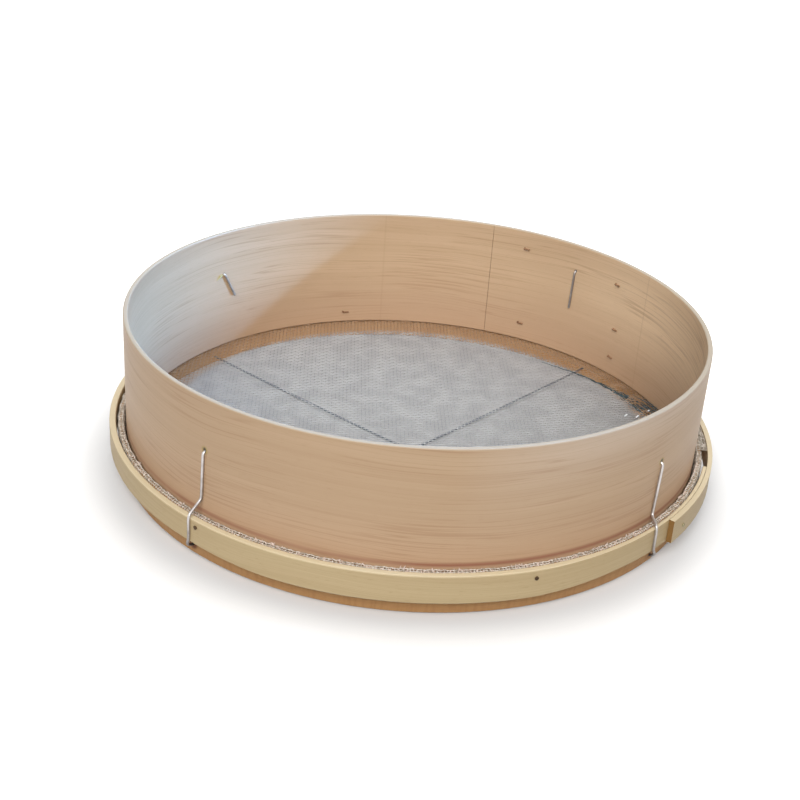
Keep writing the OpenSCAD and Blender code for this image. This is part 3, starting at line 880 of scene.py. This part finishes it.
class SIEVE_OT_stage(bpy.types.Operator):
    """Make the floor, the lights and the camera"""
    bl_idname = "sieve.stage"
    bl_label = "Stage"

    def execute(self, context):
        s = context.scene.sieve_stage
        bm = bmesh.new()
        bmesh.ops.create_grid(bm, x_segments=1, y_segments=1, size=FLOOR_HALF)
        mesh = bpy.data.meshes.new("floor")
        bm.to_mesh(mesh)
        bm.free()
        floor = bpy.data.objects.new("floor", mesh)
        context.scene.collection.objects.link(floor)
        floor.location = (0, 0, -FLOOR_GAP)
        mesh.materials.append(self.floor_white())
        context.scene.world = self.sky(s.sky)
        for name, (azimuth, elevation) in SUNS.items():
            lamp = self.lamp(context, name, "SUN", azimuth, elevation)
            lamp.data.angle = math.radians(SUN_SPREAD)
            lamp.data.energy = getattr(s, name)
        # A gridded window light that passes over the right rim into the hoop
        lamp = self.lamp(context, "window", "AREA", WINDOW_AZIMUTH, WINDOW_ELEVATION)
        lamp.location = Vector(WINDOW_AIM) + WINDOW_AWAY * (lamp.rotation_quaternion @ Vector((0, 0, 1)))
        lamp.data.shape = "RECTANGLE"
        lamp.data.size, lamp.data.size_y = WINDOW_SIZE
        lamp.data.spread = math.radians(WINDOW_SPREAD)
        lamp.data.energy = s.window
        lamp.data.color = WINDOW_BLUE
        self.camera(context)
        context.scene.view_settings.view_transform = "Standard"
        return {"FINISHED"}

    def lamp(self, context, name, kind, azimuth, elevation):
        """A lamp that shines from an azimuth and an elevation."""
        data = bpy.data.lights.new(name, kind)
        lamp = bpy.data.objects.new(name, data)
        e = math.radians(elevation)
        away = polar(math.cos(e), azimuth, math.sin(e))
        lamp.rotation_mode = "QUATERNION"
        lamp.rotation_quaternion = (-away).to_track_quat("-Z", "Y")
        context.scene.collection.objects.link(lamp)
        return lamp

    def sky(self, strength):
        """Even light from above, none from the horizon."""
        world = bpy.data.worlds.new("studio")
        world.use_nodes = True
        tree = world.node_tree
        sep = tree.nodes.new("ShaderNodeSeparateXYZ")
        tree.links.new(tree.nodes.new("ShaderNodeTexCoord").outputs["Generated"], sep.inputs[0])
        glow = tree.nodes["Background"]
        glow.inputs[0].default_value = (1, 1, 1, 1)
        light = remap(tree, sep.outputs[2], SKY_FROM, SKY_TO, 0.0, strength)
        tree.links.new(maths(tree, "MAXIMUM", light, seen_rays(tree)), glow.inputs[1])
        return world

    def floor_white(self):
        """Pale floor that is seen as white well away from the sieve."""
        mat, tree, bsdf = new_material("floor_white", 0.9)
        seen = seen_rays(tree)
        x, y, _ = place_of(tree)[1]
        far = axis_distance(tree, x, y)
        glow = remap(tree, far, FOOT_R, FOOT_R + GLOW_REACH, 0.0, FLOOR_GLOW)
        # Under the sieve the floor is seen darker, as painted shade
        pale = mix(tree, remap(tree, far, FOOT_R - UNDER_EDGE, FOOT_R), FLOOR_SHADE_UNDER, FLOOR_ROUND)
        tree.links.new(mix(tree, seen, FLOOR_BOUNCE, pale), bsdf.inputs["Base Color"])
        bsdf.inputs["Emission Color"].default_value = (1, 1, 1, 1)
        tree.links.new(maths(tree, "MULTIPLY", seen, glow), bsdf.inputs["Emission Strength"])
        return mat

    def camera(self, context):
        """Puts the camera where the photograph was taken from."""
        cam = bpy.data.cameras.new("camera")
        cam.sensor_width = SENSOR
        cam.lens = cam.sensor_width * CAM_F / PICTURE
        cam.clip_end = FARTHEST
        obj = bpy.data.objects.new("camera", cam)
        context.scene.collection.objects.link(obj)
        context.scene.camera = obj
        d, e = CAM_D * HOOP_R, CAM_E
        # Rows of the fitted camera: right, down and forward
        look = Matrix(((1, 0, 0), (0, -math.sin(e), -math.cos(e)), (0, math.cos(e), -math.sin(e))))
        turn = Matrix.Rotation(CAM_RY, 3, "Y") @ Matrix.Rotation(CAM_RZ, 3, "Z")
        right, down, ahead = Matrix.Rotation(CAM_RX, 3, "X") @ turn @ look
        obj.matrix_world = Matrix((
            (right.x, -down.x, -ahead.x, 0),
            (right.y, -down.y, -ahead.y, -d * math.cos(e)),
            (right.z, -down.z, -ahead.z, d * math.sin(e)),
            (0, 0, 0, 1)))


# The add-on

class SIEVE_PT_panel(bpy.types.Panel):
    """Lists what builds the sieve"""
    bl_label = "Drum sieve"
    bl_space_type = "VIEW_3D"
    bl_region_type = "UI"
    bl_category = "Drum sieve"

    def draw(self, context):
        for name in SETTINGS:
            group = getattr(context.scene, name)
            for key in group.bl_rna.properties.keys():
                if key not in ("rna_type", "name"):
                    self.layout.prop(group, key)
        for op in OPERATORS:
            self.layout.operator(op.bl_idname)


SETTINGS = {"sieve_wood": SieveWoodSettings, "sieve_cloth": SieveClothSettings,
            "sieve_border": SieveBorderSettings, "sieve_stage": SieveStageSettings}
OPERATORS = (SIEVE_OT_hoop, SIEVE_OT_clamp, SIEVE_OT_foot, SIEVE_OT_cloth, SIEVE_OT_border,
             SIEVE_OT_ties, SIEVE_OT_nails, SIEVE_OT_stage)
CLASSES = (*SETTINGS.values(), *OPERATORS, SIEVE_PT_panel)


def register():
    """Registers the classes and their settings."""
    for c in CLASSES:
        bpy.utils.register_class(c)
    for name, group in SETTINGS.items():
        setattr(bpy.types.Scene, name, bpy.props.PointerProperty(type=group))


def unregister():
    """Takes the classes and their settings away."""
    for name in SETTINGS:
        delattr(bpy.types.Scene, name)
    for c in reversed(CLASSES):
        bpy.utils.unregister_class(c)


def main():
    register()
    bpy.ops.sieve.hoop()
    bpy.ops.sieve.clamp()
    bpy.ops.sieve.foot()
    bpy.ops.sieve.cloth()
    bpy.ops.sieve.border()
    bpy.ops.sieve.ties()
    bpy.ops.sieve.nails()
    bpy.ops.sieve.stage()
    bpy.context.view_layer.update()


if __name__ == "__main__":
    main()
